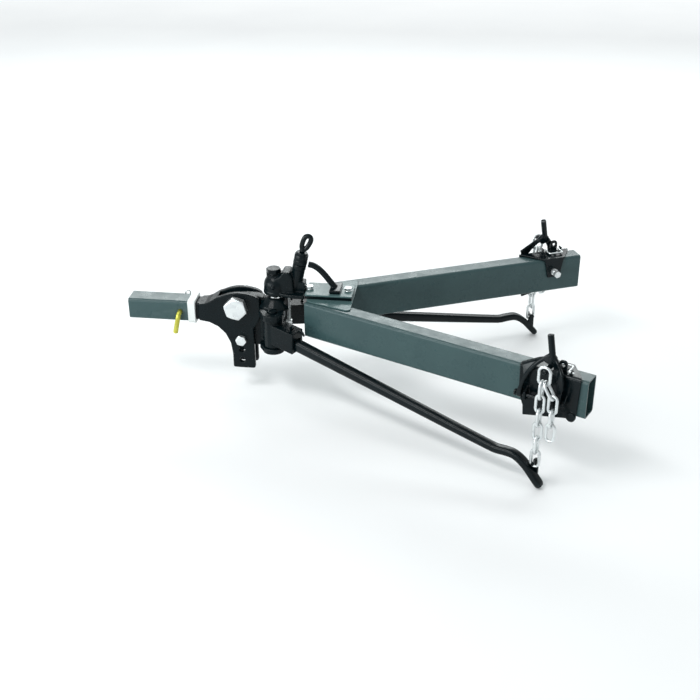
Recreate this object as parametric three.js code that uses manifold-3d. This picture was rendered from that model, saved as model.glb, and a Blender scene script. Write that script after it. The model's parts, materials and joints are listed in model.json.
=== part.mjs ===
// Weight distribution hitch, shown coupled: a square receiver with its drawbar, an adjustable ball
// mount with two pivoting spring bars, a trailer coupler on an A-frame nose, and on each rail a
// snap-up bracket that holds the bar's end by a chain.
// Millimetres, +Z up. +X runs from the towing vehicle back to the trailer. The origin is the centre
// of the receiver tube's front end. Names ending _l are on the vehicle's left (-Y), _r on its right.
import * as THREE from 'three';
import { mergeVertices } from 'three/addons/utils/BufferGeometryUtils.js';
import Module from 'manifold-3d';

const wasm = await Module();
wasm.setup();

// ---- driving dimensions ----
const GAP = 0.3; // clearance between touching pieces
const RUN = 0.6; // radial clearance of a pin that turns in its hole

const TUBE = { outer: 60, inner: 50.6, length: 188, corner: 8 }; // receiver tube
const COLLAR = { start: 170, end: 190.5, outer: 69, corner: 11 };
const SHANK = { size: 50, start: 62, corner: 4 }; // square drawbar
const PIN = { x: 147, radius: 7, out: -46, inEnd: 44 }; // hitch pin across the receiver

const FORK = { half: 29, slot: 15, slotStart: 254, rear: 373 }; // cheek plates of the shank
const PIVOT = { x: 308, z: 24, radius: 18, flats: 57, head: 23 }; // large head bolt
const ADJUST = { x: 317, z: -78, radius: 9, flats: 27, head: 11, pitch: 32, hole: 8.5 };

const BALL = { x: 415, z: 85, radius: 25, neck: 14, collar: 23 };
const EAR = { topLow: 9, topHigh: 28, lowLow: -88, lowHigh: -72, radius: 31 };
const TRUNNION = { y: 60, radius: 12 }; // vertical pivots of the spring bars, beside the ball
const BAR = {
  angle: 26, // plan angle from the centre line, degrees
  width: 28,
  rootHeight: 33,
  tipHeight: 18,
  fall: 0.189, // drop per unit of plan length along the straight stretch
  rootZ: -33.7, // height of the centre line at the trunnion
};
const SOCKET = { length: 80, width: 48, height: 60, rise: 10, hub: 26 };
const LUG = { reach: 793.1, z: -167.8, radius: 4.7 }; // chain lug near the end of a spring bar

const RAIL = {
  x: 502.3, // outer front corner
  y: 60,
  top: 61,
  height: 101.6,
  width: 50.8,
  wall: 4,
  length: 810,
  corner: 6,
  angle: 25, // half of the 50 degree A-frame
};
const PLATE = { front: 500.5, rear: 630, half: 41, low: 64.6, top: 77 };
const COUPLER = { low: 62, flange: 72, shell: 33, half: 26, rear: 500 };
const LATCH = { x: 468, z: 78, lean: 12, radius: 17.5, split: 74, top: 108.5, bore: 6.6 };

// snap-up bracket and lift arm, in the rail's own frame: s along the rail, y inward, z from its top
const BRACKET = { thick: 6, frontS: 637, rearS: 793 };
const HINGE = { out: 22, z: -66, radius: 5 };
const ARM = { back: 22, front: 37, skin: 5, lean: 11 };
const HOOK = { s: 719, z: 27, radius: 6.5, chain: 50.7 };

const LINK = { wire: 4, bend: 10.5, half: 13.2, sides: 6, steps: 12, count: 7 };

// ---- materials ----
const finish = (colour, roughness, metalness) =>
  new THREE.MeshStandardMaterial({ color: colour, roughness, metalness });
const greyPaint = finish(0x5f7a7c, 0.5, 0.2);
const lightPaint = finish(0x9fb2ac, 0.5, 0.2);
const whitePaint = finish(0xe9ecea, 0.6, 0.0);
const blackCasting = finish(0x1b2226, 0.45, 0.3);
const blackSteel = finish(0x22292d, 0.35, 0.4);
const zinc = finish(0xc9cfd0, 0.35, 0.9);
const yellowZinc = finish(0xc9b34a, 0.35, 0.9);
const chrome = finish(0xd8dcdd, 0.15, 1.0);

const hitch = new THREE.Group();

// ---- solids ----
function solid(geometry) {
  const bare = geometry.clone();
  bare.deleteAttribute('normal');
  bare.deleteAttribute('uv');
  const merged = mergeVertices(bare, 1e-3);
  return new wasm.Manifold(
    new wasm.Mesh({
      numProp: 3,
      vertProperties: new Float32Array(merged.attributes.position.array),
      triVerts: new Uint32Array(merged.index.array),
    }),
  );
}

function join(...geometries) {
  return geometries.map(solid).reduce((whole, next) => whole.add(next));
}

function cut(body, ...geometries) {
  return geometries.map(solid).reduce((whole, next) => whole.subtract(next), body);
}

function geometryOf(body) {
  const mesh = body.getMesh();
  const geometry = new THREE.BufferGeometry();
  geometry.setAttribute('position', new THREE.BufferAttribute(mesh.vertProperties, 3));
  geometry.setIndex(new THREE.BufferAttribute(mesh.triVerts, 1));
  return geometry;
}

function place(group, name, shape, material) {
  const geometry = shape.isBufferGeometry ? shape : geometryOf(shape);
  const mesh = new THREE.Mesh(geometry, material);
  mesh.name = name;
  group.add(mesh);
  return mesh;
}

// a flat outline given by points; an entry of three pairs is a curve through two control points
function outline(points) {
  const shape = new THREE.Shape();
  points.forEach((p, i) => {
    if (i === 0) shape.moveTo(p[0], p[1]);
    else if (p.length === 2) shape.lineTo(p[0], p[1]);
    else if (p.length === 4) shape.quadraticCurveTo(...p);
    else shape.bezierCurveTo(...p);
  });
  return shape;
}

function extrude(shape, depth, curveSegments = 6) {
  return new THREE.ExtrudeGeometry(shape, { depth, bevelEnabled: false, curveSegments });
}

// outline in X and Z, from y0 to y1
function slabXZ(shape, y0, y1, curveSegments) {
  return extrude(shape, y1 - y0, curveSegments).rotateX(Math.PI / 2).translate(0, y1, 0);
}

// outline in X and Y, from z0 to z1
function slabXY(shape, z0, z1, curveSegments) {
  return extrude(shape, z1 - z0, curveSegments).translate(0, 0, z0);
}

// outline in Y and Z, from x0 to x1
function slabYZ(shape, x0, x1, curveSegments) {
  const turn = new THREE.Matrix4().makeBasis(
    new THREE.Vector3(0, 1, 0),
    new THREE.Vector3(0, 0, 1),
    new THREE.Vector3(1, 0, 0),
  );
  return extrude(shape, x1 - x0, curveSegments).applyMatrix4(turn).translate(x0, 0, 0);
}

function box(x0, x1, y0, y1, z0, z1) {
  const block = new THREE.BoxGeometry(x1 - x0, y1 - y0, z1 - z0);
  return block.translate((x0 + x1) / 2, (y0 + y1) / 2, (z0 + z1) / 2);
}

function roundedRect(width, height, radius, cx = 0, cy = 0) {
  const w = width / 2;
  const h = height / 2;
  const shape = new THREE.Shape();
  shape.moveTo(cx - w + radius, cy - h);
  shape.lineTo(cx + w - radius, cy - h);
  shape.absarc(cx + w - radius, cy - h + radius, radius, -Math.PI / 2, 0);
  shape.lineTo(cx + w, cy + h - radius);
  shape.absarc(cx + w - radius, cy + h - radius, radius, 0, Math.PI / 2);
  shape.lineTo(cx - w + radius, cy + h);
  shape.absarc(cx - w + radius, cy + h - radius, radius, Math.PI / 2, Math.PI);
  shape.lineTo(cx - w, cy - h + radius);
  shape.absarc(cx - w + radius, cy - h + radius, radius, Math.PI, Math.PI * 1.5);
  return shape;
}

// a straight round bar between two points; six sides make a hexagon head
function bar(from, to, radius, sides = 16, spin = 0) {
  const a = new THREE.Vector3(...from);
  const b = new THREE.Vector3(...to);
  const rod = new THREE.CylinderGeometry(radius, radius, a.distanceTo(b), sides).rotateY(spin);
  const turn = new THREE.Quaternion();
  turn.setFromUnitVectors(new THREE.Vector3(0, 1, 0), b.clone().sub(a).normalize());
  return rod.applyQuaternion(turn).translate(...a.add(b).multiplyScalar(0.5).toArray());
}

function hexHead(from, to, flats, spin = 0) {
  return bar(from, to, flats / Math.sqrt(3), 6, spin);
}

// a bent rod through points, smoothed at the bends
function bentRod(points, radius, steps = 20, sides = 8, tension = 0.5) {
  const path = new THREE.CatmullRomCurve3(
    points.map((p) => new THREE.Vector3(...p)),
    false,
    'catmullrom',
    tension,
  );
  const section = new THREE.Shape();
  section.absarc(0, 0, radius, 0, Math.PI * 2);
  return new THREE.ExtrudeGeometry(section, {
    extrudePath: path,
    steps,
    curveSegments: sides / 2,
    bevelEnabled: false,
  });
}

// a chain link or eye: a ring pulled apart along Y, and also along X for a wide one. Lies in XY.
function oval(bend, wire, halfY, halfX = 0, sides = LINK.sides, steps = LINK.steps) {
  const ring = new THREE.TorusGeometry(bend, wire, sides, steps).rotateZ(Math.PI / steps);
  const at = ring.attributes.position;
  for (let i = 0; i < at.count; i += 1) {
    at.setX(i, at.getX(i) + Math.sign(at.getX(i)) * halfX);
    at.setY(i, at.getY(i) + Math.sign(at.getY(i)) * halfY);
  }
  return ring;
}

// ---- receiver ----
const bore = roundedRect(TUBE.inner, TUBE.inner, SHANK.corner);
const tubeShape = roundedRect(TUBE.outer, TUBE.outer, TUBE.corner);
const pinHole = bar([PIN.x, -60, 0], [PIN.x, 60, 0], PIN.radius + RUN);
place(
  hitch,
  'receiver_tube',
  cut(join(slabYZ(tubeShape, 0, TUBE.length, 3)), slabYZ(bore, -1, TUBE.length + 1, 2), pinHole),
  greyPaint,
);

const collarShape = roundedRect(COLLAR.outer, COLLAR.outer, COLLAR.corner);
const collarSeat = roundedRect(TUBE.outer + 2 * GAP, TUBE.outer + 2 * GAP, TUBE.corner);
place(
  hitch,
  'receiver_collar',
  cut(
    join(slabYZ(collarShape, COLLAR.start, COLLAR.end, 3)),
    slabYZ(collarSeat, COLLAR.start - 1, TUBE.length + GAP, 3),
    slabYZ(bore, COLLAR.start, COLLAR.end + 1, 2),
  ),
  whitePaint,
);

const pinPath = [
  [PIN.x, PIN.inEnd, 0],
  [PIN.x, 0, 0],
  [PIN.x, PIN.out + 12, 0],
  [PIN.x - 1, PIN.out + 2, -3],
  [PIN.x - 3, PIN.out, -14],
  [PIN.x - 13, PIN.out, -58],
];
const clipHole = bar([PIN.x, 38, -12], [PIN.x, 38, 12], 2.6, 10);
place(hitch, 'hitch_pin', cut(join(bentRod(pinPath, PIN.radius, 18, 10, 0.35)), clipHole), yellowZinc);

// hairpin clip: one straight leg through the pin, one leg bowed round it
const clipPath = [
  [PIN.x, 38, -20],
  [PIN.x, 38, 14],
  [PIN.x, 39, 26],
  [PIN.x + 5, 40, 34],
  [PIN.x + 13, 40, 30],
  [PIN.x + 12, 39, 18],
  [PIN.x + 9.6, 38, 8],
  [PIN.x + 12, 38, -4],
  [PIN.x + 10, 38, -16],
];
place(hitch, 'hitch_pin_clip', bentRod(clipPath, 1.9, 22, 6), zinc);

// ---- shank with its two cheek plates ----
const cheek = outline([
  [200, 25],
  [236, 25, 240, 47, 264, 51],
  [286, 62, 308, 64],
  [330, 65, 350, 59],
  [FORK.rear, 54, FORK.rear, 38],
  [FORK.rear, 2],
  [FORK.rear, -16, 353, -40],
  [353, -161],
  [353, -167, 347, -167],
  [296, -167],
  [290, -167, 290, -161],
  [290, -124],
  [290, -62, 250, -25, 200, -25],
]);
const bolt = (at, radius, reach) => bar([at.x, -reach, at.z], [at.x, reach, at.z], radius, 18);
const spareHoles = [1, 2].map((step) =>
  bolt({ x: ADJUST.x, z: ADJUST.z - step * ADJUST.pitch }, ADJUST.hole, 60),
);
place(
  hitch,
  'shank',
  cut(
    join(
      slabYZ(roundedRect(SHANK.size, SHANK.size, SHANK.corner), SHANK.start, 230, 2),
      slabXZ(cheek, -FORK.half, FORK.half, 5),
    ),
    box(FORK.slotStart, 400, -FORK.slot, FORK.slot, -200, 100),
    pinHole,
    bolt(PIVOT, PIVOT.radius + GAP, 60),
    bolt(ADJUST, ADJUST.radius + GAP, 60),
    ...spareHoles,
  ),
  blackCasting,
);

// a through bolt with its head on the left cheek and its nut on the right one
function headBolt(name, at, nutThickness, spin) {
  const face = FORK.half + GAP;
  const end = face + nutThickness + 6;
  const head = hexHead([at.x, -face - at.head, at.z], [at.x, -face, at.z], at.flats, spin);
  const shaft = bar([at.x, -face - 1, at.z], [at.x, end, at.z], at.radius - GAP, 18);
  place(hitch, `${name}_bolt`, join(head, shaft), zinc);
  const nut = hexHead([at.x, face, at.z], [at.x, face + nutThickness, at.z], at.flats - 5, spin);
  const hole = bar([at.x, 0, at.z], [at.x, end + 5, at.z], at.radius, 18);
  place(hitch, `${name}_nut`, cut(join(nut), hole), zinc);
}
headBolt('pivot', PIVOT, 28, Math.PI / 12);
headBolt('adjust', ADJUST, 15, Math.PI / 9);

// ---- ball mount head ----
const tongue = outline([
  [262, -20],
  [262, 30, 292, 52],
  [330, 62, 380, 48],
  [380, -98],
  [330, -98],
  [296, -96, 284, -56],
]);
const earShape = new THREE.Shape();
const earWeb = TRUNNION.y + 4;
earShape.moveTo(FORK.rear + 1, -earWeb + 14);
earShape.lineTo(BALL.x - 22, -TRUNNION.y - 22);
earShape.absarc(BALL.x, -TRUNNION.y, EAR.radius, -Math.PI * 0.75, Math.PI * 0.3);
earShape.lineTo(BALL.x + 20, -24);
earShape.absarc(BALL.x, 0, 26, -0.5, 0.5);
earShape.lineTo(BALL.x + 20, 24);
earShape.absarc(BALL.x, TRUNNION.y, EAR.radius, -Math.PI * 0.3, Math.PI * 0.75);
earShape.lineTo(BALL.x - 22, TRUNNION.y + 22);
earShape.lineTo(FORK.rear + 1, earWeb - 14);
const platform = new THREE.LatheGeometry(
  [
    [0, EAR.topHigh - 4],
    [50, EAR.topHigh - 4],
    [48, EAR.topHigh + 5],
    [31, 48],
    [27, 51],
    [0, 51],
  ].map((p) => new THREE.Vector2(...p)),
  20,
);
const upright = (y, radius, low, high, sides = 16) => bar([BALL.x, y, low], [BALL.x, y, high], radius, sides);
const ballMount = cut(
  join(
    slabXZ(tongue, -FORK.slot + GAP, FORK.slot - GAP, 4),
    slabXY(earShape, EAR.topLow, EAR.topHigh, 5),
    slabXY(earShape, EAR.lowLow, EAR.lowHigh, 5),
    box(FORK.rear + 1, 386, -32, 32, EAR.lowLow + 1, EAR.topHigh - 1),
    platform.rotateX(Math.PI / 2).translate(BALL.x, 0, 0),
  ),
  box(300, FORK.rear + 0.8, FORK.slot, 90, -120, 120),
  box(300, FORK.rear + 0.8, -90, -FORK.slot, -120, 120),
  box(BALL.x + 26, 500, -28, 28, EAR.lowHigh, 60),
  upright(-TRUNNION.y, TRUNNION.radius + RUN, -150, 100),
  upright(TRUNNION.y, TRUNNION.radius + RUN, -150, 100),
  upright(0, BALL.neck - 1 + GAP, 0, 60),
  bolt(PIVOT, PIVOT.radius + GAP, 60),
  bolt(ADJUST, ADJUST.radius + GAP, 60),
  bolt({ x: ADJUST.x, z: ADJUST.z - ADJUST.pitch }, ADJUST.hole + 1, 60),
);
place(hitch, 'ball_mount_head', ballMount, blackCasting);

const ballProfile = [[0, -22], [BALL.neck - 1, -22], [BALL.neck - 1, 51 + GAP], [BALL.collar, 51 + GAP]];
ballProfile.push([BALL.collar, 56], [BALL.neck, 59]);
const neckAngle = Math.acos(BALL.neck / BALL.radius);
const ballSteps = 8;
for (let i = 0; i <= ballSteps; i += 1) {
  const a = -neckAngle + ((Math.PI / 2 + neckAngle) * i) / ballSteps;
  ballProfile.push([i === ballSteps ? 0 : BALL.radius * Math.cos(a), BALL.z + BALL.radius * Math.sin(a)]);
}
const lathe = (profile, sides) =>
  new THREE.LatheGeometry(profile.map((p) => new THREE.Vector2(...p)), sides).rotateX(Math.PI / 2);
place(hitch, 'tow_ball', lathe(ballProfile, 18).translate(BALL.x, 0, 0), chrome);
const ballNut = hexHead([BALL.x, 0, -16], [BALL.x, 0, EAR.topLow - GAP], 42);
place(hitch, 'tow_ball_nut', cut(join(ballNut), upright(0, BALL.neck - 1 + GAP, -30, 30)), zinc);

// ---- spring bars, built in a frame with X along the bar in plan and the trunnion at its origin ----
const barZ = (reach) => BAR.rootZ - BAR.fall * reach;
const barSpine = [
  [34, barZ(34)],
  [360, barZ(360)],
  [681, barZ(681)],
  [713, -161.5],
  [735, -162],
  [753, -169.5],
  [775, -187],
  [797, -212],
  [811, -228],
];
function barOutline() {
  const spine = new THREE.CatmullRomCurve3(barSpine.map((p) => new THREE.Vector3(p[0], p[1], 0)));
  const last = barSpine[barSpine.length - 1][0];
  const steps = 24;
  const upper = [];
  const lower = [];
  for (let i = 0; i <= steps; i += 1) {
    const at = spine.getPointAt(i / steps);
    const along = spine.getTangentAt(i / steps);
    const half = THREE.MathUtils.lerp(BAR.rootHeight, BAR.tipHeight, at.x / last) / 2;
    upper.push([at.x - along.y * half, at.y + along.x * half]);
    lower.push([at.x + along.y * half, at.y - along.x * half]);
  }
  const [tip, heel] = [upper[steps], lower[steps]];
  const end = [(tip[0] + heel[0]) / 2 + 9, (tip[1] + heel[1]) / 2 - 11];
  return outline([...lower, [...end, ...tip], ...upper.reverse().slice(1)]);
}
const barShape = barOutline();

function lug() {
  const inner = -BAR.width / 2;
  const post = outline([
    [LUG.reach - 22, -185],
    [LUG.reach - 9, LUG.z + 4],
    [LUG.reach, LUG.z + 7],
    [LUG.reach + 8, LUG.z],
    [LUG.reach + 12, -212],
  ]);
  const prong = bentRod(
    [
      [LUG.reach, inner + 4, LUG.z],
      [LUG.reach, 0, LUG.z],
      [LUG.reach, 9, LUG.z],
      [LUG.reach, 15, LUG.z + 4],
    ],
    LUG.radius - GAP,
    8,
    10,
  );
  return [slabXZ(post, inner, inner + 8, 3), prong];
}

function springBar(side, suffix) {
  // positive Y of this frame is the outer side, away from the centre line
  const frame = new THREE.Group();
  frame.position.set(BALL.x, side * TRUNNION.y, 0);
  frame.rotation.z = side * THREE.MathUtils.degToRad(BAR.angle);
  frame.scale.y = side;
  hitch.add(frame);

  const half = BAR.width / 2;
  place(frame, `spring_bar_${suffix}`, join(slabXZ(barShape, -half, half), ...lug()), blackSteel);

  const top = (reach) => barZ(reach) + SOCKET.rise + SOCKET.height / 2;
  const low = (reach) => barZ(reach) + SOCKET.rise - SOCKET.height / 2;
  const shell = outline([
    [0, low(20)],
    [SOCKET.length, low(SOCKET.length)],
    [SOCKET.length + 3, top(SOCKET.length)],
    [8, top(20) - 2],
    [0, top(20) - 4],
  ]);
  const channel = outline([
    [30, barZ(30) - BAR.rootHeight / 2 - GAP - 1],
    [120, barZ(120) - BAR.rootHeight / 2 - GAP],
    [120, barZ(120) + BAR.rootHeight / 2 + GAP],
    [30, barZ(30) + BAR.rootHeight / 2 + GAP + 1],
  ]);
  const spindle = (radius, z0, z1) => bar([0, 0, z0], [0, 0, z1], radius, 16);
  const clipSlot = box(58, 66, -4, 4, -60, 40);
  const socket = cut(
    join(
      slabXZ(shell, -SOCKET.width / 2, SOCKET.width / 2),
      spindle(SOCKET.hub, EAR.lowHigh + 0.8, EAR.topLow - 0.8),
      spindle(TRUNNION.radius, EAR.lowLow - 5, EAR.topHigh + 5),
    ),
    slabXZ(channel, -half - GAP, half + GAP),
    clipSlot,
  );
  place(frame, `bar_socket_${suffix}`, socket, blackCasting);

  // retaining clip: a bent strap over the socket's mouth, its foot in the slot above the bar
  const clip = bentRod(
    [
      [62, 0, top(62) - 12],
      [62, 0, top(62) + 4],
      [68, 0, top(62) + 10],
      [84, 0, top(84) + 9],
      [98, 0, top(98) + 7],
      [104, 0, top(104) - 3],
    ],
    3,
    12,
    8,
  );
  place(frame, `bar_clip_${suffix}`, clip, blackSteel);
}

// ---- A-frame rail, snap-up bracket, lift arm and chain, in the rail's frame ----
// X runs along the rail, Y inward from its outer face, Z up from its top face
function railFrame(side) {
  const frame = new THREE.Group();
  frame.position.set(RAIL.x, side * RAIL.y, RAIL.top);
  frame.rotation.z = side * THREE.MathUtils.degToRad(RAIL.angle);
  frame.scale.y = -side;
  hitch.add(frame);
  return frame;
}

function rail(frame, suffix) {
  const inside = 2 * RAIL.wall;
  const outer = roundedRect(RAIL.width, RAIL.height, RAIL.corner, RAIL.width / 2, -RAIL.height / 2);
  const inner = roundedRect(
    RAIL.width - inside,
    RAIL.height - inside,
    RAIL.corner - RAIL.wall + 1,
    RAIL.width / 2,
    -RAIL.height / 2,
  );
  const tube = cut(join(slabYZ(outer, 0, RAIL.length, 2)), slabYZ(inner, -1, RAIL.length + 1, 1));
  place(frame, `rail_${suffix}`, tube, greyPaint);
}

function bracket(frame, suffix) {
  const face = -GAP - BRACKET.thick;
  const skirt = outline([
    [BRACKET.frontS, BRACKET.thick],
    [BRACKET.frontS + 2, -76],
    [BRACKET.frontS + 14, -107],
    [BRACKET.frontS + 16, -134],
    [BRACKET.rearS - 25, -108],
    [BRACKET.rearS - 16, -116, BRACKET.rearS - 8, -108],
    [BRACKET.rearS - 4, -92],
    [BRACKET.rearS, BRACKET.thick],
  ]);
  const lid = outline([
    [BRACKET.frontS, face],
    [BRACKET.rearS, face],
    [BRACKET.rearS - 4, 8],
    [752, RAIL.width + GAP + BRACKET.thick],
    [690, RAIL.width + GAP + BRACKET.thick],
    [BRACKET.frontS, 2],
  ]);
  const tab = outline([[690, BRACKET.thick], [752, BRACKET.thick], [742, -54], [704, -54]]);
  const pinEar = (s) => slabYZ(outline([[face, -50], [face, -84], [-31, -76], [-31, -56]]), s, s + 6);
  const lockEar = outline([[731, 2], [731, 27], [731, 39, 742, 39], [753, 39, 753, 27], [753, 2]]);
  const clipEar = (s) => box(s, s + 4, -2, 10, 2, 17);
  const body = cut(
    join(
      slabXZ(skirt, face, -GAP, 4),
      slabXY(lid, GAP, BRACKET.thick, 3),
      slabXZ(tab, RAIL.width + GAP, RAIL.width + GAP + BRACKET.thick),
      pinEar(660),
      pinEar(734),
      slabXZ(lockEar, 2, 8, 5),
      clipEar(706),
      clipEar(763),
      bar([BRACKET.rearS - 15, -12, -100], [BRACKET.rearS - 15, -3, -100], 12, 20),
    ),
    bar([600, -HINGE.out, HINGE.z], [820, -HINGE.out, HINGE.z], HINGE.radius + RUN, 16),
    bar([690, 4, 12], [780, 4, 12], 3.2, 10),
    bar([742, -30, 26], [742, 20, 26], 5, 12),
    bar([722, 40, -36], [722, 70, -36], 6.4, 16),
  );
  place(frame, `bracket_${suffix}`, body, blackSteel);

  const start = RAIL.width + GAP;
  const shaft = bar([722, start, -36], [722, start + 34, -36], 6, 16);
  const nut = hexHead([722, start + 6.3, -36], [722, start + 15, -36], 22);
  const head = hexHead([722, start + 20, -36], [722, start + 31, -36], 22, 0.3);
  place(frame, `set_bolt_${suffix}`, join(shaft, nut, head), zinc);

  const wire = [
    [702, 4, 12],
    [713, 4, 12],
    [716, 8, 12],
    [716, 32, 12],
    [720, 36, 12],
    [753, 36, 12],
    [757, 32, 12],
    [757, 8, 12],
    [760, 4, 12],
    [771, 4, 12],
  ];
  place(frame, `lock_clip_${suffix}`, bentRod(wire, 2.5, 26, 6, 0.3), zinc);
}

function liftArm(frame, suffix) {
  const { back, front, skin } = ARM;
  const yoke = outline([
    [643, -66],
    [645, -60],
    [648, -26],
    [655, -6],
    [643.5, 6],
    [643.5, 11],
    [710, 52],
    [717, 54],
    [724, 54, 729, 46],
    [763, 10, 756, -60],
    [757, -66],
    [744, -66],
    [742, -56],
    [748, 4, 724, 24],
    [717, 30, 710, 24],
    [674, 2, 659, -56],
    [656, -66],
  ]);
  const hollow = outline([
    [648.5, -76],
    [649.5, -60],
    [660, 5, 707, 40],
    [711, 48, 717, 48],
    [723, 48, 725.5, 41],
    [757.5, 8, 751.5, -60],
    [751.5, -76],
    [720, -100],
  ]);
  const boss = (s0, s1) => bar([s0, -HINGE.out, HINGE.z], [s1, -HINGE.out, HINGE.z], 9, 18);
  const stub = bar([722, -31, 40], [707, -36, 103], 8, 16);
  const pinHole = bar([600, -HINGE.out, HINGE.z], [820, -HINGE.out, HINGE.z], HINGE.radius + RUN, 16);
  const leanIn = (geometry) =>
    geometry
      .translate(0, HINGE.out, -HINGE.z)
      .rotateX(THREE.MathUtils.degToRad(-ARM.lean))
      .translate(0, -HINGE.out, HINGE.z);
  const hook = bentRod(
    [
      [HOOK.s, -19, HOOK.z],
      [HOOK.s, -34, HOOK.z],
      [HOOK.s, -HOOK.chain - 2, HOOK.z],
      [HOOK.s, -HOOK.chain - 7, HOOK.z + 1],
      [HOOK.s, -HOOK.chain - 12, HOOK.z + 8],
    ],
    HOOK.radius,
    8,
    8,
  );
  const body = join(leanIn(slabXZ(yoke, -front, -back, 5)))
    .subtract(solid(leanIn(slabXZ(hollow, -front + skin, -back + 1, 5))))
    .add(join(boss(643, 656), boss(744, 757), leanIn(stub), leanIn(box(708, 726, -front + 1, -back - 2, 30, 50)), hook))
    .subtract(solid(pinHole));
  place(frame, `lift_arm_${suffix}`, body, blackSteel);

  const pin = join(
    bar([639, -HINGE.out, HINGE.z], [766, -HINGE.out, HINGE.z], HINGE.radius, 16),
    bar([635, -HINGE.out, HINGE.z], [639.5, -HINGE.out, HINGE.z], 8.5, 16),
  );
  const keeperLine = (t) => [761.5 + 0.23 * t, -HINGE.out, HINGE.z + t];
  const keeperHole = bar(keeperLine(-20), keeperLine(20), 2.2, 8);
  place(frame, `hinge_pin_${suffix}`, cut(pin, keeperHole), blackSteel);
  const keeper = bar(keeperLine(-13), keeperLine(30), 1.8, 8);
  place(frame, `hinge_keeper_${suffix}`, keeper, blackSteel);
}

function chain(frame, suffix) {
  const crown = LINK.bend * Math.cos(Math.PI / LINK.steps) + LINK.half; // centre to crown wire
  const pitch = 2 * (crown - LINK.wire) - GAP;
  const strand = HOOK.s - 5.2;
  const topZ = HOOK.z + HOOK.radius + 2 * GAP - (crown - LINK.wire);
  const slack = 0.9; // extra play between the top link and the strand
  const faceOn = (geometry) => geometry.rotateX(Math.PI / 2);
  const edgeOn = (geometry) => geometry.rotateX(Math.PI / 2).rotateZ(Math.PI / 2);

  // the link on the hook is wide enough to carry the working strand and the spare links
  const wide = faceOn(oval(LINK.bend, LINK.wire, LINK.half, 4.2));
  place(frame, `chain_link_${suffix}_0`, wide.translate(HOOK.s, -HOOK.chain, topZ), zinc);
  for (let i = 1; i < LINK.count; i += 1) {
    const link = oval(LINK.bend, LINK.wire, LINK.half);
    const turned = i % 2 ? edgeOn(link) : faceOn(link);
    turned.translate(strand, -HOOK.chain, topZ + slack - i * pitch);
    place(frame, `chain_link_${suffix}_${i}`, turned, zinc);
  }

  // spare links hanging from the same top link, welded here into one piece
  const lean = THREE.MathUtils.degToRad(31);
  const seat = new THREE.Vector2(HOOK.s + 7.1, topZ - crown + 1);
  const step = crown - 2 * LINK.wire - GAP;
  const first = new THREE.Vector2(seat.x + step * Math.sin(lean), seat.y - step * Math.cos(lean));
  const next = new THREE.Vector2(
    first.x + crown * Math.sin(lean),
    first.y - crown * Math.cos(lean) - step - 1.2,
  );
  const leaning = edgeOn(oval(LINK.bend, LINK.wire, LINK.half)).rotateY(-lean);
  let tail = solid(leaning.translate(first.x, -HOOK.chain, first.y));
  for (let i = 0; i < 3; i += 1) {
    const link = oval(LINK.bend, LINK.wire, LINK.half);
    const turned = i % 2 ? edgeOn(link) : faceOn(link);
    tail = tail.add(solid(turned.translate(next.x, -HOOK.chain, next.y - i * (pitch + 1.4))));
  }
  place(frame, `chain_tail_${suffix}`, tail, zinc);
}

for (const [side, suffix] of [[-1, 'l'], [1, 'r']]) {
  springBar(side, suffix);
  const frame = railFrame(side);
  rail(frame, suffix);
  bracket(frame, suffix);
  liftArm(frame, suffix);
  chain(frame, suffix);
}

// ---- plates between the coupler and the rails ----
const plateBolts = [509, 615];
const boltHole = (x) => bar([x, 0, 40], [x, 0, 100], 6.4, 16);
const gusset = outline([[507, -48], [520, -58], [622, -97], [632, -92], [632, 92], [622, 97], [520, 58], [507, 48]]);
place(
  hitch,
  'gusset_plate',
  cut(join(slabXY(gusset, RAIL.top + GAP, PLATE.low - GAP)), ...plateBolts.map(boltHole)),
  lightPaint,
);
const plateShape = roundedRect(
  PLATE.rear - PLATE.front,
  2 * PLATE.half,
  4,
  (PLATE.rear + PLATE.front) / 2,
);
place(
  hitch,
  'mount_plate',
  cut(join(slabXY(plateShape, PLATE.low, PLATE.top, 3)), ...plateBolts.map(boltHole)),
  lightPaint,
);
plateBolts.forEach((x, i) => {
  const shaft = bar([x, 0, 44], [x, 0, PLATE.top + 2], 6, 16);
  const head = hexHead([x, 0, PLATE.top + GAP], [x, 0, PLATE.top + 9], 19, 0.4);
  const nut = hexHead([x, 0, 50], [x, 0, RAIL.top - 1], 19, 0.9);
  place(hitch, `plate_bolt_${i ? 'rear' : 'front'}`, join(shaft, head, nut), zinc);
});

// ---- coupler ----
const lean = THREE.MathUtils.degToRad(LATCH.lean);
const latchAxis = (t) => [LATCH.x + t * Math.sin(lean), 0, LATCH.z + t * Math.cos(lean)];
const flange = new THREE.Shape();
flange.moveTo(COUPLER.rear - 0.3, -PLATE.half);
flange.lineTo(COUPLER.rear - 0.3, PLATE.half);
flange.lineTo(462, PLATE.half);
flange.lineTo(436, 33);
flange.absarc(BALL.x, 0, COUPLER.shell + 1, 1.1, Math.PI * 2 - 1.1);
flange.lineTo(436, -33);
flange.lineTo(462, -PLATE.half);
const shellProfile = [[0, COUPLER.low], [COUPLER.shell, COUPLER.low], [COUPLER.shell, BALL.z]];
for (let i = 1; i <= 6; i += 1) {
  const a = (Math.PI / 2) * (i / 6);
  shellProfile.push([i === 6 ? 0 : COUPLER.shell * Math.cos(a), BALL.z + COUPLER.shell * Math.sin(a)]);
}
const cavity = [[0, 40], [BALL.radius + 1, 40], [BALL.radius + 1, BALL.z]];
for (let i = 1; i <= 6; i += 1) {
  const a = (Math.PI / 2) * (i / 6);
  const r = BALL.radius + 1;
  cavity.push([i === 6 ? 0 : r * Math.cos(a), BALL.z + r * Math.sin(a)]);
}
const back = outline([
  [BALL.x, 64],
  [BALL.x, 112],
  [430, 118],
  [436, 129, 446, 131],
  [456, 131],
  [466, 122, 470, 64],
]);
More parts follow.
